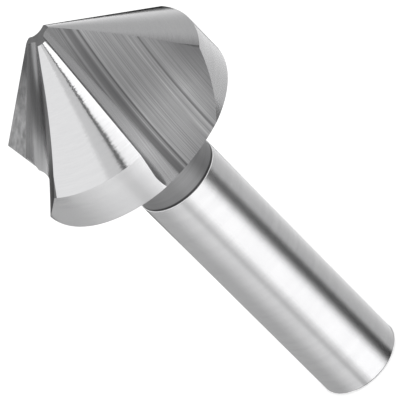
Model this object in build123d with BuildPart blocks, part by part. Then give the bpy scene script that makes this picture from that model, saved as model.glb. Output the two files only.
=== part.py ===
from build123d import *

from math import cos, radians, sin, tan
import os

# Three-flute 90 degree countersink bit with a plain cylindrical shank, made as one solid.
#
# The bit stands on its shank end with the tip upwards: the origin is the centre of the shank end face and
# +Z runs along the axis to the tip. It cuts right-hand, so seen on its tip each tooth leads its land
# counter-clockwise. The first tooth's cutting edge lies near -Y, and the other teeth are turned copies.

# ---- driving dimensions, in millimetres and degrees -------------------------------------------------
total_length = 71.0

shank_diameter = 12.0
ground_shank_length = 41.8
shank_end_chamfer = 0.4
shank_front_chamfer = 0.2
neck_diameter = 11.8
neck_fillet = 1.0

head_diameter = 31.0
cone_angle = 90.0
tip_flat_diameter = 3.8
margin_width = 6.0
back_cone_angle = 120.0

tooth_count = 3
edge_azimuth = -97.0
land_eccentricity = 0.3

axial_rake = 9.3
radial_rake = 2.3
flute_slope = 36.8
rake_past_centre = 0.2
floor_past_centre = 0.76

# The flute floor twists a little: its section is given at the tip and at the rear, flute_length further
# down the root line.
flute_length = 24.0
tip_gullet_radius = 1.1
rear_gullet_radius = 2.85
tip_gullet_bottom = 0.85
rear_gullet_bottom = -0.45
tip_ramp_end = (3.8, 0.62)
rear_ramp_end = (4.5, -0.38)
tip_floor_tilt = -7.0
rear_floor_tilt = 4.8

core_allowance = 1.2
sector_overlap = 0.5

# ---- radii and levels that follow from them ----------------------------------------------------------
shank_radius = shank_diameter / 2
neck_radius = neck_diameter / 2
head_radius = head_diameter / 2
tip_radius = tip_flat_diameter / 2
cone_slope = tan(radians(cone_angle / 2))
back_slope = tan(radians(back_cone_angle / 2))

margin_top = total_length - (head_radius - tip_radius) / cone_slope
margin_bottom = margin_top - margin_width
back_cone_bottom = margin_bottom - (head_radius - neck_radius) / back_slope
tooth_pitch = 360 / tooth_count


def rake_frame(azimuth):
    """Frame of one flute: x square to the rake face, y out of the flute floor, z down the root line."""
    square_to_rake = Vector(1, 0, 0)
    down_the_root = Vector(0, -sin(radians(flute_slope)), -cos(radians(flute_slope)))
    root_at_tip = Vector(rake_past_centre, floor_past_centre, total_length)
    turned = []
    for direction in (square_to_rake, down_the_root):
        leaned = direction.rotate(Axis.Y, axial_rake).rotate(Axis.Z, radial_rake)
        turned.append(leaned.rotate(Axis.Z, azimuth))
    return Plane(origin=root_at_tip.rotate(Axis.Z, azimuth), x_dir=turned[0], z_dir=turned[1])


def rake_plane(azimuth):
    """Plane of one tooth's rake face, its normal pointing ahead of the tooth into its flute."""
    frame = rake_frame(azimuth)
    return Plane(origin=frame.origin, x_dir=frame.z_dir, z_dir=frame.x_dir)


# ---- one relieved tooth sector: a form turned about an offset axis, cut along two rake planes --------
relief_azimuth = radians(edge_azimuth + 90)
relief_centre = Vector(land_eccentricity * cos(relief_azimuth), land_eccentricity * sin(relief_azimuth))

with BuildPart() as sector:
    with BuildSketch(Plane(origin=relief_centre, x_dir=(1, 0, 0), z_dir=(0, -1, 0))):
        with BuildLine():
            Polyline(
                (0, total_length),
                (tip_radius, total_length),
                (head_radius, margin_top),
                (head_radius, back_cone_bottom),
                (0, back_cone_bottom),
                close=True,
            )
        make_face()
    revolve(axis=Axis((relief_centre.X, relief_centre.Y, 0), (0, 0, 1)))
    split(bisect_by=rake_plane(0), keep=Keep.BOTTOM)
    split(bisect_by=rake_plane(-tooth_pitch).offset(-sector_overlap), keep=Keep.TOP)

# ---- the relieved head: all the sectors round a core that stays inside their lands --------------------
core_radius = head_radius - core_allowance
core_shoulder = margin_top - core_allowance

with BuildPart() as relieved_head:
    with BuildSketch(Plane.XZ):
        with BuildLine():
            Polyline(
                (0, 0),
                (core_radius, 0),
                (core_radius, core_shoulder),
                (0, core_shoulder + core_radius / cone_slope),
                close=True,
            )
        make_face()
    revolve(axis=Axis.Z)
    with PolarLocations(0, tooth_count):
        add(sector.part)

# ---- one flute: the wheel's section at the tip blended to its section at the rear ---------------------
def along_flute(distance, at_tip, at_rear):
    """Value at a distance down the root line, on the straight run from tip value to rear value."""
    return at_tip + (at_rear - at_tip) * distance / flute_length


with BuildPart() as flute:
    for station in (-tip_flat_diameter, head_diameter):
        gullet_radius = along_flute(station, tip_gullet_radius, rear_gullet_radius)
        gullet_bottom = along_flute(station, tip_gullet_bottom, rear_gullet_bottom)
        ramp_x = along_flute(station, tip_ramp_end[0], rear_ramp_end[0])
        ramp_y = along_flute(station, tip_ramp_end[1], rear_ramp_end[1])
        floor_tilt = along_flute(station, tip_floor_tilt, rear_floor_tilt)
        floor_y = ramp_y + (head_diameter - ramp_x) * tan(radians(floor_tilt))
        gullet_top = gullet_bottom + gullet_radius
        with BuildSketch(rake_frame(0).offset(station)):
            with BuildLine():
                Polyline(
                    (gullet_radius, gullet_bottom),
                    (ramp_x, ramp_y),
                    (head_diameter, floor_y),
                    (head_diameter, head_diameter),
                    (0, head_diameter),
                    (0, gullet_top),
                )
                RadiusArc((0, gullet_top), (gullet_radius, gullet_bottom), -gullet_radius)
            make_face()
    loft(ruled=True)

# ---- the bit: shank, neck and back cone turned from the bar, the head relieved, the flutes ground ------
bar_radius = head_radius + core_allowance
bar_level = back_cone_bottom + (bar_radius - neck_radius) / back_slope

with BuildPart() as countersink_body:
    with BuildSketch(Plane.XZ) as turned_section:
        with BuildLine():
            Polyline(
                (0, 0),
                (shank_radius - shank_end_chamfer, 0),
                (shank_radius, shank_end_chamfer),
                (shank_radius, ground_shank_length - shank_front_chamfer),
                (shank_radius - shank_front_chamfer, ground_shank_length),
                (neck_radius, ground_shank_length),
                (neck_radius, back_cone_bottom),
                (bar_radius, bar_level),
                (bar_radius, total_length),
                (0, total_length),
                close=True,
            )
        make_face()
        neck_corner = turned_section.vertices().sort_by_distance((neck_radius, back_cone_bottom))[0]
        fillet(neck_corner, radius=neck_fillet)
    revolve(axis=Axis.Z)
    add(relieved_head.part, mode=Mode.INTERSECT)
    with PolarLocations(0, tooth_count):
        add(flute.part, mode=Mode.SUBTRACT)

countersink_body.part.label = "countersink_body"

os.makedirs("parts", exist_ok=True)
export_step(countersink_body.part, "parts/countersink_body.step")
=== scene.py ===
"""Looks of a three-flute countersink bit: its ground steel, its studio and its camera.

The bit is modelled here again at a finer grain than its solid, from the same sizes, so that its
ground surfaces reflect cleanly. It stays one piece. Unless a field says otherwise, lengths are
written in millimetres and angles in degrees.
"""

import logging
from dataclasses import dataclass, field
from enum import Enum
from math import atan2, cos, hypot, pi, radians, sin, tan
from typing import Callable, Sequence

import bpy
from mathutils import Matrix, Vector


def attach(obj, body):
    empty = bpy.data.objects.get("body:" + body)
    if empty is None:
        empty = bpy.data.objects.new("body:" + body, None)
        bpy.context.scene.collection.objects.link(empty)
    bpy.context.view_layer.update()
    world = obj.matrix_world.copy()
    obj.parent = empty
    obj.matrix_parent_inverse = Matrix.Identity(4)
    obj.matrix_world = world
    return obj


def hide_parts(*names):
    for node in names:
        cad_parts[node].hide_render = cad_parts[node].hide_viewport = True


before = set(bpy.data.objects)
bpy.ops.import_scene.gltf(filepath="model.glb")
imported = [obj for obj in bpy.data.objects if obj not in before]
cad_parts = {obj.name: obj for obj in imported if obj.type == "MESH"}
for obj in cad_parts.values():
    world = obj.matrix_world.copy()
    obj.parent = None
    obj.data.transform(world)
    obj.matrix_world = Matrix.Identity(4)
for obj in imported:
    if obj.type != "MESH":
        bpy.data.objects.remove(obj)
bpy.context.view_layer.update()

log = logging.getLogger("countersink_bit")

MM = 0.001  # metres in a millimetre
UP = Vector((0.0, 0.0, 1.0))
ORIGIN = Vector((0.0, 0.0, 0.0))
GRIND_MAP = "grind"  # the UV map that the grinding lines follow

# Distances in metres within which corners count as one: in a body as drawn, and in the cut bit.
DRAWN_GAP = 0.0005 * MM
CUT_GAP = 0.002 * MM
SHORTEST_EDGE = 0.001 * MM
FLAT_ANGLE = radians(0.1)  # faces that meet at less than this are one flat face

# Numbers of a Mix node's colour sockets, whose names it also uses for plain numbers.
COLOUR_A, COLOUR_B, COLOUR_RESULT = 6, 7, 2

# Places on a surface in millimetres, in order, each with the grey that multiplies its colour there.
Bands = tuple[tuple[float, str], ...]


class Surface(Enum):
    """The surfaces of the bit, each ground, turned or lapped in its own way."""

    SHANK = "centreless_ground_shank"
    NECK = "turned_neck"
    BACK = "turned_back_cone"
    LAND = "relief_ground_land"
    MARGIN = "ground_margin"
    FLOOR = "ground_flute_floor"
    GULLET = "ground_gullet"
    RAKE = "ground_rake_face"
    TIP = "blunt_tip_face"


# ---- small helpers -------------------------------------------------------------------------------
def linear(hex_colour: str) -> tuple[float, float, float, float]:
    """Turn an sRGB hex colour into the linear colour that a shader takes.

    Args:
        hex_colour: Six hex digits, such as "c8cacc".

    Returns:
        Linear red, green and blue, with an alpha of 1.
    """
    channels = []
    for start in (0, 2, 4):
        value = int(hex_colour[start:start + 2], 16) / 255
        # The sRGB standard's own curve: a straight foot, and a power above it.
        straight = value <= 0.04045
        channels.append(value / 12.92 if straight else ((value + 0.055) / 1.055) ** 2.4)
    return (channels[0], channels[1], channels[2], 1.0)


def deselect_everything() -> None:
    """Leave edit mode and deselect every object."""
    if bpy.context.object and bpy.context.object.mode != "OBJECT":
        bpy.ops.object.mode_set(mode="OBJECT")
    bpy.ops.object.select_all(action="DESELECT")


def work_on(piece: bpy.types.Object, mode: str) -> None:
    """Make one piece the active and only selected one, in object or edit mode.

    Args:
        piece: The piece to work on.
        mode: "OBJECT" or "EDIT".
    """
    deselect_everything()
    piece.select_set(True)
    bpy.context.view_layer.objects.active = piece
    bpy.ops.object.mode_set(mode=mode)


def on_whole_mesh(operator: Callable[..., object], **settings: object) -> None:
    """Run an operator on all of the mesh being edited.

    Args:
        operator: One of Blender's operators for a mesh, or a function made of them.
        **settings: The operator's own settings.
    """
    bpy.ops.mesh.select_all(action="SELECT")
    operator(**settings)


def draw_run(points: Sequence[Vector]) -> None:
    """Draw a run of edges from the selected corners of the mesh being edited, merged into one.

    Args:
        points: The places of the run's corners in metres, in order.
    """
    bpy.ops.mesh.merge(type="CENTER")
    bpy.ops.transform.translate(value=points[0])
    for start, end in zip(points, points[1:]):
        bpy.ops.mesh.extrude_vertices_move(TRANSFORM_OT_translate={"value": end - start})


def start_outline(name: str, points: Sequence[Vector]) -> bpy.types.Object:
    """Start a piece as an open run of edges, left in edit mode.

    Args:
        name: Name of the new piece.
        points: The places of the run's corners in metres, in order.

    Returns:
        The new object.
    """
    deselect_everything()
    bpy.ops.mesh.primitive_plane_add(size=MM, location=ORIGIN)
    piece = bpy.context.object
    piece.name = name
    bpy.ops.object.mode_set(mode="EDIT")
    bpy.ops.mesh.select_mode(type="VERT")
    on_whole_mesh(draw_run, points=points)
    return piece


def turn_on_lathe(
    name: str, profile: Sequence[tuple[float, float]], centre: Vector, steps: int
) -> bpy.types.Object:
    """Turn a closed solid of revolution about an upright axis.

    Args:
        name: Name of the new piece.
        profile: Radius and height of each corner in millimetres; it starts and ends on the axis.
        centre: A point on the axis, in metres.
        steps: How many facets go round.

    Returns:
        The turned piece, in object mode.
    """
    points = [centre + Vector((radius * MM, 0, height * MM)) for radius, height in profile]
    piece = start_outline(name, points)
    on_whole_mesh(bpy.ops.mesh.spin, steps=steps, angle=2 * pi, center=centre, axis=UP)
    on_whole_mesh(bpy.ops.mesh.remove_doubles, threshold=DRAWN_GAP)
    on_whole_mesh(bpy.ops.mesh.normals_make_consistent, inside=False)
    # The flat ends lose the spokes that the spin leaves in them.
    on_whole_mesh(bpy.ops.mesh.dissolve_limited, angle_limit=FLAT_ANGLE)
    bpy.ops.object.mode_set(mode="OBJECT")
    return piece


def bevel_ring(
    piece: bpy.types.Object, radius: float, height: float, reach: float, segments: int
) -> None:
    """Bevel the ring edge of a turned piece at one radius and height.

    Args:
        piece: A piece turned about the world's upright axis.
        radius: Radius of the ring in millimetres.
        height: Height of the ring in millimetres.
        reach: How far the bevel runs along each side, in millimetres.
        segments: 1 for a chamfer, more for a round.
    """
    work_on(piece, "EDIT")
    bpy.ops.mesh.select_mode(type="EDGE")
    bpy.ops.mesh.select_all(action="DESELECT")
    bpy.ops.object.mode_set(mode="OBJECT")
    mesh = piece.data
    near = 0.01 * MM  # finer than any step between two rings
    on_ring = [
        abs(hypot(corner.co.x, corner.co.y) - radius * MM) < near
        and abs(corner.co.z - height * MM) < near
        for corner in mesh.vertices
    ]
    for edge in mesh.edges:
        edge.select = all(on_ring[index] for index in edge.vertices)
    bpy.ops.object.mode_set(mode="EDIT")
    bpy.ops.mesh.bevel(
        offset=reach * MM, offset_type="OFFSET", segments=segments, profile=0.5,
        affect="EDGES", clamp_overlap=False,
    )
    bpy.ops.object.mode_set(mode="OBJECT")


def combine(piece: bpy.types.Object, tool: bpy.types.Object, operation: str) -> None:
    """Join, cut or intersect a piece with a tool body, and throw the tool body away.

    Args:
        piece: The piece that is changed.
        tool: The body that it is combined with.
        operation: "UNION", "DIFFERENCE" or "INTERSECT".
    """
    work_on(piece, "OBJECT")
    bpy.ops.object.modifier_add(type="BOOLEAN")
    modifier = piece.modifiers[-1]
    modifier.operation = operation
    modifier.solver = "EXACT"
    modifier.material_mode = "TRANSFER"
    modifier.object = tool
    bpy.ops.object.modifier_apply(modifier=modifier.name)
    bpy.data.objects.remove(tool, do_unlink=True)


def cut_away(piece: bpy.types.Object, point: Vector, normal: Vector, reach: float) -> None:
    """Cut off all of a piece that lies ahead of a plane, and close the cut.

    Args:
        piece: The piece to cut.
        point: A point on the plane, in metres.
        normal: The direction in which the plane faces, towards what goes.
        reach: Side of the block that takes the rest away, in millimetres.
    """
    deselect_everything()
    turn = normal.to_track_quat("Z", "Y").to_euler()
    middle = point + normal * reach / 2 * MM
    bpy.ops.mesh.primitive_cube_add(size=reach * MM, location=middle, rotation=turn)
    combine(piece, bpy.context.object, "DIFFERENCE")


def copy_turned(piece: bpy.types.Object, azimuth: float) -> bpy.types.Object:
    """Copy a piece with a mesh of its own and turn the copy about the bit's axis.

    Args:
        piece: The piece to copy.
        azimuth: Degrees to turn it by.

    Returns:
        The copy, turned in its mesh.
    """
    copy = piece.copy()
    copy.data = piece.data.copy()
    bpy.context.collection.objects.link(copy)
    copy.data.transform(Matrix.Rotation(radians(azimuth), 4, "Z"))
    return copy


def add_node(
    tree: bpy.types.NodeTree, kind: str, settings: dict[str, object] | None = None,
    inputs: dict[str | int, object] | None = None,
) -> bpy.types.Node:
    """Add a node with its settings, socket values and links.

    Args:
        tree: The node tree that takes the node.
        kind: Blender's name for the kind of node.
        settings: Properties of the node, by name.
        inputs: For each input socket, by name or number, a value or the output socket to link
            from.

    Returns:
        The new node.
    """
    node = tree.nodes.new(kind)
    for name, value in (settings or {}).items():
        setattr(node, name, value)
    for name, value in (inputs or {}).items():
        if isinstance(value, bpy.types.NodeSocket):
            tree.links.new(value, node.inputs[name])
        else:
            node.inputs[name].default_value = value
    return node


def emptied_tree(owner: bpy.types.Material | bpy.types.World) -> bpy.types.NodeTree:
    """Turn a material's or a world's nodes on and take out those that it starts with.

    Args:
        owner: The new material or world.

    Returns:
        Its empty node tree.
    """
    owner.use_nodes = True
    owner.node_tree.nodes.clear()
    return owner.node_tree


# ---- finishes ------------------------------------------------------------------------------------
@dataclass(frozen=True)
class GroundSteel:
    """Bare high-speed steel with the parallel lines that a grinding wheel or a lathe tool leaves.

    The lines run along the grinding map's v. The lobe of the reflection spreads across them, so
    the surface smears what it mirrors one way only. Sizes are in millimetres.

    Attributes:
        name: Name of the material: the steel, and how its surface was made.
        colour: The steel between its lines, in sRGB hex.
        dark_line: The steel at the bottom of a line, in sRGB hex.
        roughness: How far the scratches spread a reflection; 0 is a clear mirror.
        anisotropy: How much of that spread goes across the lines only, from 0 to 1.
        line_width: Width of the broadest lines; the noise splits them into finer ones.
        line_length: How long a line runs before it fades.
        line_contrast: Share of the dark line's colour in the darkest lines.
        tilt_across: The most that a line leans to its side, in radians.
        tilt_along: The most that it leans lengthwise, in radians.
        pass_share: How much of the pattern is broad passes of the wheel, not single lines.
        bands: Greys that follow each other across the lines: the wheel's passes, and on the neck
            painted shade over the steel's tone.
        tone_and_painted_reflection_along: Greys that follow each other along the lines: painted
            reflection, and on the gullet and the rake face their tone.
    """

    name: str
    colour: str
    dark_line: str
    roughness: float
    anisotropy: float
    line_width: float
    line_length: float
    line_contrast: float
    tilt_across: float
    tilt_along: float = 0.0
    pass_share: float = 0.45
    bands: Bands = ()
    tone_and_painted_reflection_along: Bands = ()

    # How many times as wide and as long as a single line the marks of one pass of the wheel are.
    PASS_WIDTH = 4.5
    PASS_LENGTH = 2.5
    # Nearly all of the noise lies between these two values.
    NOISE_LOW = 0.38
    NOISE_HIGH = 0.62
    # Each line is split three times, into lines half as wide and a little fainter.
    NOISE_DETAIL = 3.0
    NOISE_ROUGHNESS = 0.6

    def make(self) -> bpy.types.Material:
        """Make the material.

        Returns:
            The finished procedural material.
        """
        material = bpy.data.materials.new(self.name)
        tree = emptied_tree(material)
        grind = add_node(tree, "ShaderNodeUVMap", {"uv_map": GRIND_MAP}).outputs["UV"]
        lines = self.streaks(tree, grind, self.line_width, self.line_length)
        passes = self.streaks(
            tree, grind, self.line_width * self.PASS_WIDTH, self.line_length * self.PASS_LENGTH)
        fine = add_node(tree, "ShaderNodeMath", {"operation": "MULTIPLY"}, {
            0: lines.outputs[0], 1: 1 - self.pass_share})
        both = add_node(tree, "ShaderNodeMath", {"operation": "MULTIPLY_ADD"}, {
            0: passes.outputs[0], 1: self.pass_share, 2: fine.outputs[0]})
        share = add_node(tree, "ShaderNodeMapRange", {"clamp": True}, {
            "Value": both.outputs[0], "From Min": self.NOISE_LOW, "From Max": self.NOISE_HIGH,
            "To Min": 0.0, "To Max": self.line_contrast})
        bright: bpy.types.NodeSocket | tuple = linear(self.colour)
        # Multiply in the bands: the wheel's passes, and painted shade and reflection.
        for axis, bands in enumerate((self.bands, self.tone_and_painted_reflection_along)):
            if bands:
                banded = add_node(tree, "ShaderNodeMix", {
                    "data_type": "RGBA", "blend_type": "MULTIPLY"}, {
                    "Factor": 1.0, COLOUR_A: bright,
                    COLOUR_B: self.band_colour(tree, grind, bands, axis)})
                bright = banded.outputs[COLOUR_RESULT]
        mixed = add_node(tree, "ShaderNodeMix", {"data_type": "RGBA"}, {
            "Factor": share.outputs[0], COLOUR_A: bright, COLOUR_B: linear(self.dark_line)})
        tangent = add_node(tree, "ShaderNodeTangent", {
            "direction_type": "UV_MAP", "uv_map": GRIND_MAP})
        shader = add_node(tree, "ShaderNodeBsdfPrincipled", {}, {
            "Base Color": mixed.outputs[COLOUR_RESULT], "Metallic": 1.0,
            "Roughness": self.roughness, "Anisotropic": self.anisotropy,
            "Normal": self.tilted(tree, lines.outputs[1]), "Tangent": tangent.outputs[0]})
        add_node(tree, "ShaderNodeOutputMaterial", {}, {"Surface": shader.outputs[0]})
        return material

    def streaks(
        self, tree: bpy.types.NodeTree, source: bpy.types.NodeSocket, width: float, length: float
    ) -> bpy.types.Node:
        """Add noise that is drawn out along the grinding lines.

        Args:
            tree: The material's node tree.
            source: The grinding map, whose u and v are in metres.
            width: Width of a streak in millimetres.
            length: Length of a streak in millimetres.

        Returns:
            The noise node.
        """
        scaled = add_node(tree, "ShaderNodeMapping", {"vector_type": "POINT"}, {
            "Vector": source, "Scale": (1 / (width * MM), 1 / (length * MM), 1.0)})
        return add_node(tree, "ShaderNodeTexNoise", {"noise_dimensions": "2D"}, {
            "Vector": scaled.outputs[0], "Scale": 1.0, "Detail": self.NOISE_DETAIL,
            "Roughness": self.NOISE_ROUGHNESS})

    def tilted(
        self, tree: bpy.types.NodeTree, noise: bpy.types.NodeSocket
    ) -> bpy.types.NodeSocket:
        """Tilt the normal a little from line to line, across the lines and along them.

        Args:
            tree: The material's node tree.
            noise: The colour of the lines' noise, whose red and green vary apart.

        Returns:
            The tilted normal.
        """
        # In a normal map's colour, 0.5 in red and green and 1 in blue is no tilt.
        tilts = (self.tilt_across, self.tilt_along, 0.0)
        level = tuple(0.5 - tilt / 2 for tilt in tilts[:2]) + (1.0,)
        lean = add_node(tree, "ShaderNodeVectorMath", {"operation": "MULTIPLY_ADD"}, {
            0: noise, 1: tilts, 2: level})
        return add_node(tree, "ShaderNodeNormalMap", {"uv_map": GRIND_MAP}, {
            "Color": lean.outputs[0]}).outputs[0]

    def band_colour(
        self, tree: bpy.types.NodeTree, source: bpy.types.NodeSocket, bands: Bands, axis: int
    ) -> bpy.types.NodeSocket:
        """Add broad bands of grey to a surface: the passes of the wheel, and painted shade and
        reflection.

        Args:
            tree: The material's node tree.
            source: The grinding map, whose u and v are in metres.
            bands: The bands' places and greys.
            axis: 0 for bands that follow each other across the lines, 1 for along them.

        Returns:
            The grey at each band.
        """
        split = add_node(tree, "ShaderNodeSeparateXYZ", {}, {0: source})
        first, last = bands[0][0], bands[-1][0]
        place = add_node(tree, "ShaderNodeMapRange", {"clamp": True}, {
            "Value": split.outputs[axis], "From Min": first * MM, "From Max": last * MM})
        ramp = add_node(tree, "ShaderNodeValToRGB", {}, {0: place.outputs[0]})
        stops = ramp.color_ramp.elements
        while len(stops) < len(bands):
            stops.new(0.5)
        for stop, (distance, shade) in zip(stops, bands):
            stop.position = (distance - first) / (last - first)
            stop.color = linear(shade)
        return ramp.outputs[0]


# The neck, by height over the shank's end: a nearly black line of painted shade in the corner by
# the shank, and then an even dull grey, the turned steel's tone darkened by painted shade from the
# head above it.
NECK_PAINTED_SHADE_AND_TONE: Bands = ((41.8, "3c3c3d"), (42.02, "464647"), (42.2, "9a9a9b"), (44.0, "9e9e9f"))

# The flute's floor, by distance out from the root line: each pass of the wheel leaves a stripe that
# is a little lighter or darker than the next, and the dressing marks in it leave single dark lines.
FLOOR_BANDS: Bands = (
    (1.7, "9c9c9d"), (1.9, "868687"), (2.2, "b0b0b1"), (2.45, "8c8c8d"), (3.0, "7c7c7d"),
    (3.2, "8c8c8d"), (3.42, "b8b8b9"), (3.68, "a8a8a9"), (3.85, "606061"), (4.05, "c8c8c9"),
    (4.4, "bcbcbd"), (8.2, "bababb"), (8.5, "d4d4d5"), (8.8, "b4b4b5"), (9.4, "c8c8c9"),
    (9.65, "7c7c7d"), (9.95, "c8c8c9"), (10.4, "b8b8b9"), (11.4, "b0b0b1"), (13.0, "969697"),
    (14.4, "8c8c8d"),
)

# The same floor, the gullet and the rake face, by distance down the root line from the tip: painted
# reflection, lighter or darker where these faces would mirror a lighter or darker part of the room.
# On the gullet and the rake face the greys also hold the steel's own darker tone.
FLOOR_PAINTED_REFLECTION: Bands = (
    (3.0, "f2f2f2"), (6.0, "e1e1e1"), (9.0, "dbdbdb"), (12.5, "d9d9d9"), (14.2, "e4e4e4"),
    (17.2, "fdfdfd"), (20.2, "fbfbfb"), (23.2, "e6e6e6"), (25.0, "d5d5d5"),
)
# The gullet: painted reflection, lighter towards the rear, over its dark tone.
GULLET_TONE_AND_PAINTED_REFLECTION: Bands = (
    (0.0, "929293"), (10.0, "969697"), (14.0, "9e9e9f"), (20.0, "b5b5b6"), (24.0, "a6a6a7"),
)
# The rake face: painted reflection, lighter towards the margin, over its dark tone.
RAKE_TONE_AND_PAINTED_REFLECTION: Bands = ((0.0, "9a9a9b"), (5.0, "8c8c8d"), (8.0, "a8a8a9"), (12.5, "d8d8d9"))

# All of these are bare high-speed steel, a neutral pale grey metal, so they differ in how they
# were ground or turned, and in the painted shade and reflection that some of them carry. A wheel's
# lines are 0.02 to 0.1 mm wide and a fine tool's feed marks are about 0.1 mm apart. Where a width
# here is more, it is drawn coarser than the real one, so as to show.
FINISHES: dict[Surface, GroundSteel] = {
    # A silky pale grey that mirrors the room in soft stripes down its length. The wheel's lines go
    # round it, really 0.03 mm wide, and are drawn at ten times that.
    Surface.SHANK: GroundSteel(
        "high_speed_steel_centreless_ground", colour="f2f2f3", dark_line="dcdcde",
        roughness=0.26, anisotropy=0.55, line_width=0.30, line_length=9.0, line_contrast=0.35,
        tilt_across=0.02),
    # Dull and dark from the tempering, and darker still by painted shade from the head, with a
    # tool's feed marks round it, drawn 2.5 times as coarse. It blurs the room to one broad sheen,
    # and its corner by the shank has a nearly black line of painted shade.
    Surface.NECK: GroundSteel(
        "high_speed_steel_turned_and_tempered", colour="fafafa", dark_line="828283",
        roughness=0.50, anisotropy=0.3, line_width=0.25, line_length=12.0, line_contrast=0.3,
        tilt_across=0.03, bands=NECK_PAINTED_SHADE_AND_TONE),
    # The lathe's surface behind the head: an even mid grey with faint rings, also 2.5 times as
    # coarse.
    Surface.BACK: GroundSteel(
        "high_speed_steel_turned_back", colour="a6a6a7", dark_line="8b8b8c",
        roughness=0.38, anisotropy=0.4, line_width=0.25, line_length=12.0, line_contrast=0.6,
        tilt_across=0.03),
    # The finest wheel: the smoothest surface and almost a clear mirror, so that the edges of what
    # it mirrors stay crisp. Short hairlines, really 0.02 mm wide and drawn at six times that, only
    # ruffle them.
    Surface.LAND: GroundSteel(
        "high_speed_steel_relief_ground", colour="e0e0e1", dark_line="d4d4d6",
        roughness=0.10, anisotropy=0.8, line_width=0.12, line_length=1.8, line_contrast=0.30,
        tilt_across=0.016, tilt_along=0.032),
    # Ground round like the shank, and as silky, with its lines drawn as coarse as the shank's.
    Surface.MARGIN: GroundSteel(
        "high_speed_steel_margin_ground", colour="f0f0f1", dark_line="dcdcde",
        roughness=0.24, anisotropy=0.5, line_width=0.28, line_length=7.0, line_contrast=0.4,
        tilt_across=0.02),
    # One deep pass of a coarse wheel: long bowed lines, light and dark, that each lean their own
    # way, so that the floor looks combed. They are wide enough to be drawn at nearly their real
    # width. Down its length the floor carries painted reflection.
    Surface.FLOOR: GroundSteel(
        "high_speed_steel_coarse_flute_ground", colour="ffffff", dark_line="6a6a6b",
        roughness=0.30, anisotropy=0.4, line_width=0.13, line_length=20.0, line_contrast=0.5,
        tilt_across=0.12, pass_share=0.1, bands=FLOOR_BANDS, tone_and_painted_reflection_along=FLOOR_PAINTED_REFLECTION),
    # The wheel's rounded corner, which rubs more than it cuts: a smooth dark hollow with soft
    # streaks, drawn at twice their real width. Painted reflection lightens it towards the rear.
    Surface.GULLET: GroundSteel(
        "high_speed_steel_gullet_ground", colour="ffffff", dark_line="6c6c6d",
        roughness=0.24, anisotropy=0.3, line_width=0.20, line_length=14.0, line_contrast=0.25,
        tilt_across=0.03, pass_share=0.1, tone_and_painted_reflection_along=GULLET_TONE_AND_PAINTED_REFLECTION),
    # The side of the wheel: short smeared patches, and painted reflection that makes the face
    # lighter towards the margin. The patches are the marks of its wobble, and are drawn as broad
    # as they are.
    Surface.RAKE: GroundSteel(
        "high_speed_steel_rake_ground", colour="ffffff", dark_line="6c6c6d",
        roughness=0.30, anisotropy=0.3, line_width=0.50, line_length=2.5, line_contrast=0.6,
        tilt_across=0.06, tone_and_painted_reflection_along=RAKE_TONE_AND_PAINTED_REFLECTION),
    # The stub that the lathe's parting tool leaves: small, dark and dull, with short smears that
    # point no one way, drawn at three times their real size.
    Surface.TIP: GroundSteel(
        "high_speed_steel_tip_as_turned", colour="6e6e6f", dark_line="585859",
        roughness=0.45, anisotropy=0.0, line_width=0.30, line_length=1.0, line_contrast=0.5,
        tilt_across=0.04),
}


# ---- the bit -------------------------------------------------------------------------------------
@dataclass(frozen=True)
class SortingRules:
    """Where one surface of the bit ends and the next begins, for sorting the faces.

    Distances are in millimetres. The other values are parts of a face's unit normal, from -1 to 1.

    Attributes:
        ring_slack: How far above the shank's front a face of the shank may lie.
        tip_depth: How far below the tip the blunt face may lie.
        tip_rise: Least upward part on the blunt face.
        fillet_height: How far above the back cone's foot the neck's fillet may reach.
        fillet_width: How far out past the neck it may reach.
        neck_fall: Least upward part on the neck; the rest of the fillet looks like the back cone.
        back_fall: Greatest upward part on the back cone.
        back_outward: Least outward part on the back cone.
        rake_gap: How far off the rake plane a face of it may lie.
        rake_facing: Least part square to the rake plane on it.
        flute_start: How far behind the rake plane the flute's own faces may start.
        flute_height: How high over the root line they may lie.
        flute_facing: Least part out of the flute on its floor.
        flute_outward: Greatest outward part on a face of a flute; the margin has more.
        floor_gap: How far off the wheel's section a face of the flute may lie.
        margin_rise: Greatest upward part on the margin; a land has more.
    """

    ring_slack: float = 0.001
    tip_depth: float = 0.01
    tip_rise: float = 0.99
    fillet_height: float = 1.0
    fillet_width: float = 0.9
    neck_fall: float = -0.4
    back_fall: float = -0.6
    back_outward: float = 0.3
    rake_gap: float = 0.03
    rake_facing: float = 0.9995
    flute_start: float = -0.1
    flute_height: float = 4.0
    flute_facing: float = 0.05
    flute_outward: float = 0.93
    floor_gap: float = 0.08
    margin_rise: float = 0.3


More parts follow.
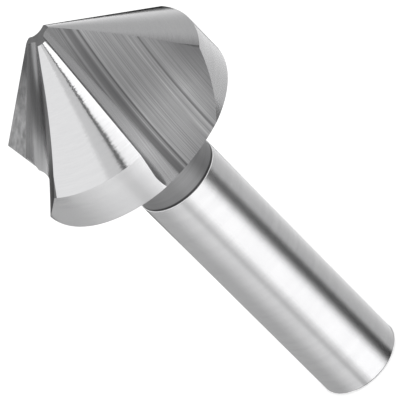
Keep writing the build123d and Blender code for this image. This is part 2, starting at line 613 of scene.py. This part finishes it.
@dataclass(frozen=True)
class FluteSection:
    """The wheel's section at one place: a quarter-round gullet, a straight ramp and a floor.

    All but the floor's rise are in millimetres, x square to the rake face and y out of the flute.

    Attributes:
        radius: Radius of the gullet.
        bottom: Level of the gullet's lowest line.
        ramp_x: Where the ramp meets the floor.
        ramp_y: Level at which it does.
        floor_rise: Rise of the floor for each unit of its run.
    """

    radius: float
    bottom: float
    ramp_x: float
    ramp_y: float
    floor_rise: float

    def outline(
        self, reach: float, arc_steps: int, ramp_steps: int, floor_steps: int
    ) -> list[tuple[float, float]]:
        """Give the section's corners in order, from the rake face to the end of the floor and back.

        Args:
            reach: How far the section runs out past the head.
            arc_steps: How many facets the gullet has.
            ramp_steps: How many the ramp has.
            floor_steps: How many the floor has.

        Returns:
            The x and y of each corner.
        """
        corners = []
        for step in range(arc_steps + 1):
            turn = pi / 2 * step / arc_steps
            corners.append((
                self.radius * (1 - cos(turn)), self.bottom + self.radius * (1 - sin(turn))))
        foot, crest = (self.radius, self.bottom), (self.ramp_x, self.ramp_y)
        end = (reach, self.ramp_y + (reach - self.ramp_x) * self.floor_rise)
        for (x, y), (far_x, far_y), steps in (
                (foot, crest, ramp_steps), (crest, end, floor_steps)):
            for step in range(1, steps + 1):
                share = step / steps
                corners.append((x + (far_x - x) * share, y + (far_y - y) * share))
        return corners + [(reach, reach), (0, reach)]

    def distance_off(self, x: float, y: float) -> float:
        """Tell how far off the section's ground line a place lies.

        Args:
            x: Distance out from the rake face.
            y: Distance out of the flute.

        Returns:
            The distance, square to the gullet and straight up from the ramp and the floor.
        """
        if x < self.radius:
            return abs(hypot(x - self.radius, y - self.bottom - self.radius) - self.radius)
        if x < self.ramp_x:
            slant = (self.ramp_y - self.bottom) / (self.ramp_x - self.radius)
            return abs(y - self.bottom - slant * (x - self.radius))
        return abs(y - self.ramp_y - self.floor_rise * (x - self.ramp_x))


@dataclass
class FluteGrind:
    """One flute: a rake face, a rounded gullet, a ramp and a broad floor that twists a little.

    Its frame has e1 square to the rake face, e2 out of the floor and d down the root line. A pair
    of values is for the tip and for the rear, and the section runs straight from one to the other.

    Attributes:
        axial_rake: Degrees that the rake face leans from the axis.
        radial_rake: Degrees that it is turned from the radius.
        slope: Degrees from the axis to the root line.
        rake_past_centre: How far from the axis the root line starts, square to the first rake face.
        floor_past_centre: How far from the axis it starts, along that face.
        length: How far down the root line the second values hold, in millimetres.
        gullet_radius: Radius of the gullet.
        gullet_bottom: Level of its lowest line over the root line.
        ramp_end_x: Where the ramp meets the floor, out from the rake face.
        ramp_end_y: Level at which it does.
        floor_tilt: Degrees that the floor rises outwards.
        line_bow: How strongly the wheel's lines bow, as millimetres of bow at a millimetre from
            their middle; it grows with the square of the distance.
        bow_middle: Where their middle is, down the root line.
        arc_steps: How many facets the gullet has.
        ramp_steps: How many the ramp has.
        floor_steps: How many the floor has.
        ring_cuts: How many sections lie between the first and the last.
    """

    axial_rake: float = 9.3
    radial_rake: float = 2.3
    slope: float = 36.8
    rake_past_centre: float = 0.2
    floor_past_centre: float = 0.76
    length: float = 24.0
    gullet_radius: tuple[float, float] = (1.1, 2.85)
    gullet_bottom: tuple[float, float] = (0.85, -0.45)
    ramp_end_x: tuple[float, float] = (3.8, 4.5)
    ramp_end_y: tuple[float, float] = (0.62, -0.38)
    floor_tilt: tuple[float, float] = (-7.0, 4.8)
    line_bow: float = 0.004
    bow_middle: float = 13.0
    arc_steps: int = 14
    ramp_steps: int = 4
    floor_steps: int = 20
    ring_cuts: int = 24

    def axes(self, top: float, azimuth: float = 0.0) -> tuple[Vector, Vector, Vector, Vector]:
        """Give the flute's frame.

        Args:
            top: Height of the tip in millimetres.
            azimuth: Degrees by which this flute is turned from the first.

        Returns:
            The root at the tip in metres, and the unit directions e1, e2 and d.
        """
        lean = Matrix.Rotation(radians(self.radial_rake + azimuth), 3, "Z") @ Matrix.Rotation(
            radians(self.axial_rake), 3, "Y")
        square_to_rake = lean @ Vector((1, 0, 0))
        down_root = lean @ Vector((0, -sin(radians(self.slope)), -cos(radians(self.slope))))
        root = Matrix.Rotation(radians(azimuth), 3, "Z") @ Vector(
            (self.rake_past_centre, self.floor_past_centre, top))
        return root * MM, square_to_rake, down_root.cross(square_to_rake), down_root

    def section(self, distance: float) -> FluteSection:
        """Give the wheel's section at one place.

        Args:
            distance: Millimetres down the root from the tip.

        Returns:
            The section there.
        """
        radius, bottom, ramp_x, ramp_y, tilt = (
            tip + (rear - tip) * distance / self.length
            for tip, rear in (self.gullet_radius, self.gullet_bottom, self.ramp_end_x,
                              self.ramp_end_y, self.floor_tilt)
        )
        return FluteSection(radius, bottom, ramp_x, ramp_y, tan(radians(tilt)))

    def ring(self, distance: float, reach: float, top: float) -> list[Vector]:
        """Place the section at a distance down the root line.

        Args:
            distance: Millimetres down the root from the tip.
            reach: How far the section runs out past the head, in millimetres.
            top: Height of the tip in millimetres.

        Returns:
            The section's corners in metres, in order, with the first one again at the end.
        """
        root, across, out, down = self.axes(top)
        corners = self.section(distance).outline(
            reach, self.arc_steps, self.ramp_steps, self.floor_steps)
        return [
            root + (across * x + out * y + down * distance) * MM
            for x, y in corners + corners[:1]
        ]

    def wheel_body(self, start: float, reach: float, top: float) -> bpy.types.Object:
        """Build the body that the wheel sweeps, for cutting one flute.

        Args:
            start: Distance of the first section above the tip, in millimetres.
            reach: Distance of the last section down the root, in millimetres.
            top: Height of the tip in millimetres.

        Returns:
            The closed body.
        """
        piece = start_outline("flute_wheel", self.ring(-start, reach, top))
        bpy.ops.mesh.select_all(action="DESELECT")
        bpy.ops.mesh.primitive_plane_add(size=MM, location=ORIGIN)
        draw_run(self.ring(reach, reach, top))
        on_whole_mesh(bpy.ops.mesh.remove_doubles, threshold=DRAWN_GAP)
        on_whole_mesh(
            bpy.ops.mesh.bridge_edge_loops, number_cuts=self.ring_cuts, interpolation="LINEAR")
        on_whole_mesh(bpy.ops.mesh.fill_holes, sides=0)
        on_whole_mesh(bpy.ops.mesh.normals_make_consistent, inside=False)
        bpy.ops.object.mode_set(mode="OBJECT")
        return piece


@dataclass
class CountersinkBit:
    """The whole bit, one piece of steel: shank, neck, back cone and the relieved, fluted head.

    Attributes:
        total_length: Height of the tip over the shank's end.
        shank_radius: Radius of the ground shank.
        ground_shank_length: Height of the ground shank.
        shank_end_chamfer: Width of the chamfer at the shank's end.
        shank_front_share: Share of the step to the neck that the round at its edge takes.
        neck_radius: Radius of the neck.
        neck_fillet: Radius of the fillet between the neck and the back cone.
        head_radius: Radius of the head.
        tip_radius: Radius of the blunt tip.
        margin_width: Height of the cylindrical margin.
        back_half_angle: Degrees from the axis to the back cone.
        tooth_count: How many teeth stand round the bit, at equal turns.
        edge_azimuth: Azimuth of the first cutting edge in degrees, from +X.
        land_eccentricity: How far off the bit's axis each land is turned, towards its edge.
        core_allowance: How far inside the lands the core stays.
        core_overrun: How far the core runs down past the shank's end, where it is cut off.
        sector_overlap: How far a sector runs on behind the next rake face.
        sector_trim: How far ahead of its own rake face it is trimmed.
        steps: How many facets go round.
        smooth_angle: Degrees; faces that meet at less are shaded as one.
        cone_slant: Length down a 45 degree cone for each unit of height.
        cone_mean_share: A cone's mean radius, as a share of the head's.
        flute: The flute.
        sorting: The rules for telling its surfaces apart.
    """

    total_length: float = 71.0
    shank_radius: float = 6.0
    ground_shank_length: float = 41.8
    shank_end_chamfer: float = 0.4
    shank_front_share: float = 0.9
    neck_radius: float = 5.9
    neck_fillet: float = 1.0
    head_radius: float = 15.5
    tip_radius: float = 1.9
    margin_width: float = 6.0
    back_half_angle: float = 60.0
    tooth_count: int = 3
    edge_azimuth: float = -97.0
    land_eccentricity: float = 0.3
    core_allowance: float = 1.2
    core_overrun: float = 1.0
    sector_overlap: float = 0.5
    sector_trim: float = 0.01
    steps: int = 240
    smooth_angle: float = 14.0
    cone_slant: float = 1.414
    cone_mean_share: float = 0.6
    flute: FluteGrind = field(default_factory=FluteGrind)
    sorting: SortingRules = SortingRules()

    @property
    def margin_top(self) -> float:
        """Height at which the cone meets the margin, in millimetres."""
        return self.total_length - (self.head_radius - self.tip_radius)

    @property
    def back_cone_bottom(self) -> float:
        """Height at which the back cone meets the neck, in millimetres."""
        run = (self.head_radius - self.neck_radius) / tan(radians(self.back_half_angle))
        return self.margin_top - self.margin_width - run

    @property
    def pitch(self) -> float:
        """Degrees from one tooth to the next."""
        return 360 / self.tooth_count

    def for_each_tooth(self, body: bpy.types.Object) -> list[bpy.types.Object]:
        """Copy the first tooth's body for the others and give them all, the first one first."""
        others = range(1, self.tooth_count)
        return [body] + [copy_turned(body, self.pitch * tooth) for tooth in others]

    def turned_blank(self) -> bpy.types.Object:
        """Turn the shank, neck and back cone, with a bar above them that the head is cut from.

        Returns:
            The blank.
        """
        bar_radius = self.head_radius + self.core_allowance
        bar_level = self.back_cone_bottom + (bar_radius - self.neck_radius) / tan(
            radians(self.back_half_angle))
        blank = turn_on_lathe("countersink_bit", [
            (0, 0),
            (self.shank_radius, 0),
            (self.shank_radius, self.ground_shank_length),
            (self.neck_radius, self.ground_shank_length),
            (self.neck_radius, self.back_cone_bottom),
            (bar_radius, bar_level),
            (bar_radius, self.total_length),
            (0, self.total_length),
        ], ORIGIN, self.steps)
        step = self.shank_radius - self.neck_radius
        fillet_reach = self.neck_fillet * tan(radians(self.back_half_angle / 2))
        # The chamfer at the shank's end, the round at its front and the fillet behind the head.
        for radius, height, reach, segments in (
                (self.shank_radius, 0, self.shank_end_chamfer, 1),
                (self.shank_radius, self.ground_shank_length, step * self.shank_front_share, 2),
                (self.neck_radius, self.back_cone_bottom, fillet_reach, 10)):
            bevel_ring(blank, radius, height, reach, segments)
        return blank

    def tooth_sector(self) -> bpy.types.Object:
        """Turn one land about its offset axis and cut it to its third of the head.

        Returns:
            The sector of the first tooth.
        """
        azimuth = radians(self.edge_azimuth + 90)
        centre = Vector((cos(azimuth), sin(azimuth), 0)) * self.land_eccentricity * MM
        sector = turn_on_lathe("tooth_sector", [
            (0, self.back_cone_bottom),
            (self.head_radius, self.back_cone_bottom),
            (self.head_radius, self.margin_top),
            (0, self.margin_top + self.head_radius),
        ], centre, self.steps)
        block = 2 * self.total_length
        ahead, rake_normal = self.flute.axes(self.total_length)[:2]
        cut_away(sector, ahead + rake_normal * self.sector_trim * MM, rake_normal, block)
        behind, next_normal = self.flute.axes(self.total_length, -self.pitch)[:2]
        inside = behind - next_normal * self.sector_overlap * MM
        cut_away(sector, inside, -next_normal, block)
        return sector

    def relieved_head(self) -> bpy.types.Object:
        """Join the sectors round a core that stays inside their lands.

        Returns:
            The relieved head, with a core that runs on down round the shank.
        """
        core_radius = self.head_radius - self.core_allowance
        shoulder = self.margin_top - self.core_allowance
        head = turn_on_lathe("relieved_head", [
            (0, -self.core_overrun),
            (core_radius, -self.core_overrun),
            (core_radius, shoulder),
            (0, shoulder + core_radius),
        ], ORIGIN, self.steps)
        for sector in self.for_each_tooth(self.tooth_sector()):
            combine(head, sector, "UNION")
        return head

    def make(self) -> bpy.types.Object:
        """Model the whole bit and lay the grinding map on it.

        Returns:
            The finished mesh, dressed in its finishes.
        """
        bit = self.turned_blank()
        combine(bit, self.relieved_head(), "INTERSECT")
        # The wheel starts well above the tip and runs out past the rear of the head.
        wheel = self.flute.wheel_body(
            2 * self.tip_radius, 2 * self.head_radius, self.total_length)
        for body in self.for_each_tooth(wheel):
            combine(bit, body, "DIFFERENCE")
        work_on(bit, "EDIT")
        on_whole_mesh(bpy.ops.mesh.remove_doubles, threshold=CUT_GAP)
        bpy.ops.mesh.dissolve_degenerate(threshold=SHORTEST_EDGE)
        on_whole_mesh(bpy.ops.mesh.normals_make_consistent, inside=False)
        bpy.ops.object.mode_set(mode="OBJECT")
        self.dress(bit)
        bpy.ops.object.shade_smooth_by_angle(angle=radians(self.smooth_angle))
        bpy.ops.object.modifier_add(type="WEIGHTED_NORMAL")
        bit.modifiers[-1].keep_sharp = True
        bpy.ops.object.modifier_apply(modifier=bit.modifiers[-1].name)
        return bit

    def surface_at(self, point: Vector, normal: Vector) -> tuple[Surface, int]:
        """Tell which surface of the bit a face belongs to.

        Args:
            point: The middle of the face, in metres.
            normal: Its outward direction.

        Returns:
            The surface, and the number of its flute, which is 0 on a surface outside the flutes.
        """
        rules = self.sorting
        height = point.z / MM
        radius = hypot(point.x, point.y) / MM
        if height < self.ground_shank_length + rules.ring_slack:
            return Surface.SHANK, 0
        if height > self.total_length - rules.tip_depth and normal.z > rules.tip_rise:
            return Surface.TIP, 0
        near_neck = radius < self.neck_radius + rules.fillet_width
        if near_neck and height < self.back_cone_bottom + rules.fillet_height:
            return (Surface.NECK if normal.z > rules.neck_fall else Surface.BACK), 0
        outward = Vector((point.x, point.y, 0)).normalized()
        if normal.z < rules.back_fall and normal.dot(outward) > rules.back_outward:
            return Surface.BACK, 0
        for tooth in range(self.tooth_count):
            root, across, out, down = self.flute.axes(self.total_length, self.pitch * tooth)
            e1, e2, depth = ((point - root).dot(way) / MM for way in (across, out, down))
            if abs(e1) < rules.rake_gap and normal.dot(across) > rules.rake_facing:
                return Surface.RAKE, tooth
            in_flute = e1 > rules.flute_start and e2 < rules.flute_height
            faces_out = normal.dot(out) > rules.flute_facing
            if in_flute and faces_out and normal.dot(outward) < rules.flute_outward:
                section = self.flute.section(depth)
                if section.distance_off(e1, e2) < rules.floor_gap:
                    return (Surface.GULLET if e1 < section.radius else Surface.FLOOR), tooth
        return (Surface.MARGIN if normal.z < rules.margin_rise else Surface.LAND), 0

    def grind_place(
        self, surface: Surface, tooth: int, point: Vector, near: float
    ) -> tuple[float, float]:
        """Give a point's place on the grinding map.

        Args:
            surface: The surface that the point is on.
            tooth: The number of its flute.
            point: The point, in metres.
            near: The azimuth of its face's middle in radians; the point's azimuth is kept near it.

        Returns:
            The distance across the grinding lines and the distance along them, in metres.
        """
        if surface in (Surface.FLOOR, Surface.GULLET, Surface.RAKE):
            root, across, out, down = self.flute.axes(self.total_length, self.pitch * tooth)
            offset = point - root
            depth = offset.dot(down)
            if surface is Surface.RAKE:
                return offset.dot(out), depth
            if surface is Surface.GULLET:
                return offset.dot(across - out), depth
            bow = self.flute.line_bow * (depth / MM - self.flute.bow_middle) ** 2 * MM
            return offset.dot(across) - bow, depth
        if surface is Surface.TIP:
            return point.x, point.y
        azimuth = atan2(point.y, point.x)
        azimuth += 2 * pi * round((near - azimuth) / (2 * pi))
        if surface in (Surface.LAND, Surface.BACK):
            mean_radius = self.cone_mean_share * self.head_radius
            return point.z * self.cone_slant, azimuth * mean_radius * MM
        radius = self.head_radius if surface is Surface.MARGIN else self.shank_radius
        return point.z, azimuth * radius * MM

    def dress(self, bit: bpy.types.Object) -> None:
        """Give every face its finish and its place on the grinding map.

        Args:
            bit: The modelled bit.
        """
        mesh = bit.data
        mesh.materials.clear()
        order = list(Surface)
        for surface in order:
            mesh.materials.append(FINISHES[surface].make())
        for layer in list(mesh.uv_layers):
            mesh.uv_layers.remove(layer)
        places = mesh.uv_layers.new(name=GRIND_MAP).uv
        counts = dict.fromkeys(order, 0)
        for face in mesh.polygons:
            surface, tooth = self.surface_at(face.center, face.normal)
            counts[surface] += 1
            face.material_index = order.index(surface)
            near = atan2(face.center.y, face.center.x)
            for loop in face.loop_indices:
                point = mesh.vertices[mesh.loops[loop].vertex_index].co
                places[loop].vector = self.grind_place(surface, tooth, point, near)
        for surface, count in counts.items():
            log.info("%s: %d faces", surface.value, count)


# ---- the studio ----------------------------------------------------------------------------------
@dataclass(frozen=True)
class Viewpoint:
    """The camera, looking down on the bit and rolled so that the tip is upper left.

    Lengths are in millimetres and angles in degrees.

    Attributes:
        elevation: How far it looks down.
        roll: How far it is rolled about its own line of sight.
        distance: How far it stands from what it looks at.
        target_height: Height over the floor of the point that it looks at.
        lens: Its focal length.
        sensor: Width of its sensor.
        slide_right: How far it is slid to its own right.
        slide_up: How far it is slid upwards in its own frame.
    """

    elevation: float = 33.47
    roll: float = -44.99
    distance: float = 607.06
    target_height: float = 35.5
    lens: float = 419.04
    sensor: float = 36.0
    slide_right: float = -0.52
    slide_up: float = 0.39

    def place(self) -> None:
        """Add the camera and make it the scene's."""
        tilt, roll = radians(self.elevation), radians(self.roll)
        ahead = Vector((0, cos(tilt), -sin(tilt)))
        level, rising = Vector((1, 0, 0)), Vector((0, sin(tilt), cos(tilt)))
        right = level * cos(roll) + rising * sin(roll)
        above = rising * cos(roll) - level * sin(roll)
        spot = Vector((0, 0, self.target_height)) - ahead * self.distance
        spot += right * self.slide_right + above * self.slide_up
        deselect_everything()
        bpy.ops.object.camera_add()
        camera = bpy.context.object
        turn = Matrix((right, above, -ahead)).transposed()
        camera.matrix_world = Matrix.Translation(spot * MM) @ turn.to_4x4()
        camera.data.lens = self.lens
        camera.data.sensor_width = self.sensor
        bpy.context.scene.camera = camera
        log.info("camera: %.0f mm away", self.distance)


def heading_of(azimuth: float) -> tuple[float, float]:
    """X and Y of a level direction, its azimuth in degrees from the camera's side to the right."""
    return cos(radians(azimuth - 90)), sin(radians(azimuth - 90))


def show_in_mirrors_only(card: bpy.types.Object, shades: bool = False) -> None:
    """Keep a card of the stage out of every ray but a reflection.

    Args:
        card: The card.
        shades: Whether it still keeps the light of the lamps off the bit.
    """
    card.visible_camera = False
    card.visible_diffuse = False
    card.visible_shadow = shades
    card.visible_transmission = False


@dataclass(frozen=True)
class Flag:
    """A studio flag: a grey paper sweep beside the bit that only shows in its mirror.

    It spreads over the floor from the foot of the shank. With a top it then rises as a wall, and
    with a bottom too it is a wall alone, which hangs free. Its edges thin out, so that its mirror
    image is soft. Lengths are in millimetres and angles in degrees, and azimuths grow to the right
    from the camera's side.

    Attributes:
        name: Name of the card.
        start: Azimuth at which it begins, in the middle of its soft side.
        end: Azimuth at which it ends, in the middle of its soft side.
        start_softness: Half the width of the soft side at its start.
        end_softness: Half the width of the soft side at its end.
        shade: Its grey, in sRGB hex.
        top: Elevation of its top edge, or none for a card that lies on the floor.
        bottom: Elevation of its bottom edge, or none for one that starts on the floor.
        top_softness: Share of the card that thins out towards its top or far edge.
        near: How far from the foot of the shank it begins.
        near_softness: Share of the card that thins out towards its bottom or near edge.
        level: Height of its flat part over the floor; cards that overlap lie at their own levels.
        wall: How far from the foot of the shank it ends or rises.
        head_height: Height over the floor that the two elevations are seen from.
        foot_radius: Radius of the ring that it spreads from, the shank's own.
        shades: Whether it also keeps the light of the lamps off the bit.
        columns: How many faces it has round the bit.
        rows: How many faces it has outwards and upwards.
    """

    name: str
    start: float
    end: float
    start_softness: float
    end_softness: float
    shade: str
    top: float | None = None
    bottom: float | None = None
    top_softness: float = 0.15
    near: float = 0.05
    near_softness: float = 0.0
    level: float = 0.1
    wall: float = 260.0
    head_height: float = 62.0
    foot_radius: float = 6.0
    shades: bool = False
    columns: int = 60
    rows: int = 8

    @property
    def first(self) -> float:
        """Azimuth at which the card begins, before its soft side."""
        return self.start - self.start_softness

    @property
    def last(self) -> float:
        """Azimuth at which the card ends, after its soft side."""
        return self.end + self.end_softness

    def place(self) -> None:
        """Add the card as a flat grid, and shape it by moving the grid's corners."""
        deselect_everything()
        bpy.ops.mesh.primitive_grid_add(
            x_subdivisions=self.columns, y_subdivisions=self.rows, size=1)
        card = bpy.context.object
        card.name = self.name
        stations = self.side_view()
        for corner in card.data.vertices:
            azimuth = self.first + (self.last - self.first) * (corner.co.x + 0.5)
            share = (corner.co.y + 0.5) * 2
            leg = 0 if share <= 1 else 1
            (near_out, near_rise), (far_out, far_rise) = stations[leg:leg + 2]
            out = near_out + (far_out - near_out) * (share - leg)
            rise = near_rise + (far_rise - near_rise) * (share - leg)
            # The shank mirrors an azimuth at half of it, so the card's lines start out from there.
            foot, heading = heading_of(azimuth / 2), heading_of(azimuth)
            corner.co = Vector((
                self.foot_radius * foot[0] + out * heading[0],
                self.foot_radius * foot[1] + out * heading[1],
                rise,
            )) * MM
        card.data.materials.append(self.paper())
        show_in_mirrors_only(card, self.shades)

    def side_view(self) -> list[tuple[float, float]]:
        """Give the card's near edge, middle and far edge seen from the side.

        Returns:
            For each, its distance out from the foot of the shank and its height.
        """
        if self.top is None:
            middle = (self.near + self.wall) / 2
            return [(self.near, self.level), (middle, self.level), (self.wall, self.level)]
        crest = self.head_height + self.wall * tan(radians(self.top))
        if self.bottom is None:
            return [(self.near, self.level), (self.wall, self.level), (self.wall, crest)]
        sill = self.head_height + self.wall * tan(radians(self.bottom))
        return [(self.wall, sill), (self.wall, (sill + crest) / 2), (self.wall, crest)]

    def paper(self) -> bpy.types.Material:
        """Make the card's paper, which thins out at its four edges.

        Returns:
            The material.
        """
        material = bpy.data.materials.new(self.name + "_paper")
        tree = emptied_tree(material)
        place = add_node(tree, "ShaderNodeUVMap", {"uv_map": "UVMap"})
        split = add_node(tree, "ShaderNodeSeparateXYZ", {}, {0: place.outputs[0]})
        span = self.last - self.first
        # Each edge: the map's axis, where the paper is clear, and where it is whole. The near edge
        # starts just off the card, so that a near_softness of 0 leaves it whole.
        cover = None
        for axis, clear_at, whole_at in (
                (0, 0.0, 2 * self.start_softness / span),
                (0, 1.0, 1 - 2 * self.end_softness / span),
                (1, 1.0, 1 - self.top_softness),
                (1, -0.001, self.near_softness)):
            rising = clear_at < whole_at
            edge = add_node(tree, "ShaderNodeMapRange", {"interpolation_type": "SMOOTHSTEP"}, {
                "Value": split.outputs[axis], "From Min": min(clear_at, whole_at),
                "From Max": max(clear_at, whole_at), "To Min": 0.0 if rising else 1.0,
                "To Max": 1.0 if rising else 0.0}).outputs[0]
            cover = edge if cover is None else add_node(
                tree, "ShaderNodeMath", {"operation": "MULTIPLY"}, {0: cover, 1: edge}).outputs[0]
        grey = add_node(tree, "ShaderNodeEmission", {}, {
            "Color": linear(self.shade), "Strength": 1.0})
        clear = add_node(tree, "ShaderNodeBsdfTransparent")
        sheet = add_node(tree, "ShaderNodeMixShader", {}, {
            0: cover, 1: clear.outputs[0], 2: grey.outputs[0]})
        add_node(tree, "ShaderNodeOutputMaterial", {}, {"Surface": sheet.outputs[0]})
        return material


@dataclass(frozen=True)
class Lamp:
    """A square soft lamp that faces the bit's foot.

    Attributes:
        name: Name of the lamp.
        azimuth: Degrees round from the camera's side, growing to the right.
        elevation: Degrees above the floor.
        size: Side of the lamp in metres.
        power: Its power in watts.
        distance: How far it hangs from the bit's foot, in metres.
    """

    name: str
    azimuth: float
    elevation: float
    size: float
    power: float
    distance: float = 1.2

    def hang(self) -> None:
        """Add the lamp."""
        heading, lift = heading_of(self.azimuth), radians(self.elevation)
        toward = Vector((heading[0] * cos(lift), heading[1] * cos(lift), sin(lift)))
        deselect_everything()
        bpy.ops.object.light_add(type="AREA", location=toward * self.distance)
        lamp = bpy.context.object
        lamp.name = self.name
        lamp.data.size = self.size
        lamp.data.energy = self.power
        lamp.rotation_euler = toward.to_track_quat("Z", "Y").to_euler()


# Each comment says what the flag below it shades, as the camera sees the bit. The numbers after its
# name are the azimuths of its two sides and how soft they are.
FLAGS: tuple[Flag, ...] = (
    # The shank left of its middle, the front of the margin and the left flute's outer side, all
    # barely grey.
    Flag("flag_left_scrim", -180, -18, 2, 10, "dadada", level=0.10, wall=130),
    # The shank's left side, the margin's left end and the left flute's outer side again.
    Flag("flag_left_side", -180, -78, 2, 28, "a9a9a9", level=0.14, wall=125),
    # The left flute beside the front land; the card hangs close to the head.
    Flag("flag_left_high", -156, -77, 8, 5, "949494", top=3, bottom=-36, top_softness=0.2,
         near_softness=0.5, wall=18),
    # A thin line down the shank and the right end of the front margin.
    Flag("flag_left_gap", -41, -31, 6, 6, "b0b0b0", level=0.18, wall=120),
    # The dark rims of the head, along the upper land's far edge and the front land's left edge.
    Flag("flag_back", -208, -154, 4, 4, "0c0c0c", near=45, near_softness=0.08, level=0.22,
         wall=290),
    # The shank's right side and the margin behind the upper land.
    Flag("flag_right_side", 50, 150, 10, 60, "b4b4b4", level=0.10, wall=150),
    # The dark stripe down the right of the shank.
    Flag("flag_right_stripe", 45, 78, 20, 8, "3c3c3c", level=0.18, wall=140),
    # The upper land.
    Flag("flag_right_upper", 112, 157, 6, 18, "bcbcbc", top=34, bottom=-17, wall=205),
    # The upper land's rear corner by the front flute, which is darker.
    Flag("flag_right_edge", 113, 118, 4, 12, "6c6c6c", top=34, bottom=5, wall=200),
    # The floor of the front flute.
    Flag("flag_front_band", 15, 23, 5, 5, "808080", top=60, bottom=15, wall=280),
    # The front land, from its middle to the dark streak down it.
    Flag("flag_upper_band", -59.5, -40, 3, 3, "dedede", top=66, bottom=34, wall=405, shades=True),
    # The dark streak itself.
    Flag("flag_upper_gap", -41.5, -36.3, 1.2, 1.2, "101010", top=66, bottom=34, wall=400,
         shades=True),
)

LAMPS: tuple[Lamp, ...] = (
    Lamp("lamp_overhead", azimuth=-20, elevation=78, size=0.9, power=1.3),
    Lamp("lamp_right", azimuth=60, elevation=62, size=0.7, power=2.0),
)


@dataclass(frozen=True)
class Studio:
    """A plain white room: a pale floor, a white world, soft lamps and a few flags.

    Attributes:
        floor_size: Side of the floor in metres.
        floor_colour: The floor's paper, in sRGB hex.
        floor_glow: Light that the floor adds for the camera and mirrors, 1 for white.
        world_fill: Strength of the world as light; to the camera and mirrors it is white.
        foot_shade_radius: Radius of the dark disc under the shank, in millimetres.
        foot_shade_level: Its height over the floor in millimetres.
        foot_shade_corners: How many corners it has round its rim.
        foot_shade_colour: Its grey, in sRGB hex.
        flags: The flags.
        lamps: The lamps.
    """

    floor_size: float = 12.0
    floor_colour: str = "f2f2f2"
    floor_glow: float = 0.58
    world_fill: float = 0.45
    foot_shade_radius: float = 6.35
    foot_shade_level: float = 0.04
    foot_shade_corners: int = 96
    foot_shade_colour: str = "484848"
    flags: tuple[Flag, ...] = FLAGS
    lamps: tuple[Lamp, ...] = LAMPS

    def white_for_mirrors(self, tree: bpy.types.NodeTree) -> bpy.types.NodeSocket:
        """Add a factor for what only the camera and mirrors see.

        Args:
            tree: The node tree that takes it.

        Returns:
            A socket that is 1 for rays from the camera, a mirror or a glass, and else 0.
        """
        path = add_node(tree, "ShaderNodeLightPath")
        seen = add_node(tree, "ShaderNodeMath", {"operation": "MAXIMUM"}, {
            0: path.outputs["Is Camera Ray"], 1: path.outputs["Is Glossy Ray"]})
        either = add_node(tree, "ShaderNodeMath", {"operation": "MAXIMUM"}, {
            0: seen.outputs[0], 1: path.outputs["Is Transmission Ray"]})
        return either.outputs[0]

    def light_world(self) -> None:
        """Make the world: white to look at, and a soft even fill for what it lights."""
        world = bpy.data.worlds.new("white_room")
        bpy.context.scene.world = world
        tree = emptied_tree(world)
        fill, white = (
            add_node(tree, "ShaderNodeBackground", {}, {
                "Color": linear("ffffff"), "Strength": strength}).outputs[0]
            for strength in (self.world_fill, 1.0)
        )
        sky = add_node(tree, "ShaderNodeMixShader", {}, {
            0: self.white_for_mirrors(tree), 1: fill, 2: white})
        add_node(tree, "ShaderNodeOutputWorld", {}, {"Surface": sky.outputs[0]})

    def lay_floor(self) -> None:
        """Lay the floor, white paper that keeps the bit's shadow."""
        deselect_everything()
        bpy.ops.mesh.primitive_plane_add(size=self.floor_size, location=ORIGIN)
        floor = bpy.context.object
        floor.name = "studio_floor"
        material = bpy.data.materials.new("white_paper_floor")
        tree = emptied_tree(material)
        paper = add_node(tree, "ShaderNodeBsdfDiffuse", {}, {"Color": linear(self.floor_colour)})
        glow = add_node(tree, "ShaderNodeMath", {"operation": "MULTIPLY"}, {
            0: self.white_for_mirrors(tree), 1: self.floor_glow})
        lit = add_node(tree, "ShaderNodeEmission", {}, {"Strength": glow.outputs[0]})
        both = add_node(tree, "ShaderNodeAddShader", {}, {0: paper.outputs[0], 1: lit.outputs[0]})
        add_node(tree, "ShaderNodeOutputMaterial", {}, {"Surface": both.outputs[0]})
        floor.data.materials.append(material)

    def lay_foot_shade(self) -> None:
        """Lay a dark disc under the shank's end, which shows only in its chamfer's mirror."""
        deselect_everything()
        bpy.ops.mesh.primitive_circle_add(
            vertices=self.foot_shade_corners, radius=self.foot_shade_radius * MM,
            fill_type="NGON", location=(0, 0, self.foot_shade_level * MM))
        disc = bpy.context.object
        disc.name = "foot_shade"
        material = bpy.data.materials.new("foot_shade_paper")
        tree = emptied_tree(material)
        grey = add_node(tree, "ShaderNodeEmission", {}, {"Color": linear(self.foot_shade_colour)})
        add_node(tree, "ShaderNodeOutputMaterial", {}, {"Surface": grey.outputs[0]})
        disc.data.materials.append(material)
        show_in_mirrors_only(disc)

    def set_up(self) -> None:
        """Set up the floor, the world, the lamps and the flags."""
        self.lay_floor()
        self.lay_foot_shade()
        self.light_world()
        for lamp in self.lamps:
            lamp.hang()
        for flag in self.flags:
            flag.place()
        bpy.context.scene.view_settings.view_transform = "Standard"
        log.info("studio: %d lamps, %d flags", len(self.lamps), len(self.flags))


def main() -> None:
    """Build the bit, dress it, and set up the studio and the camera."""
    logging.basicConfig(level=logging.INFO, format="%(name)s %(message)s")
    bit = CountersinkBit().make()
    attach(bit, "root")
    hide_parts("countersink_body")
    log.info("bit: %d faces, %d corners", len(bit.data.polygons), len(bit.data.vertices))
    Studio().set_up()
    Viewpoint().place()


if __name__ == "__main__":
    main()
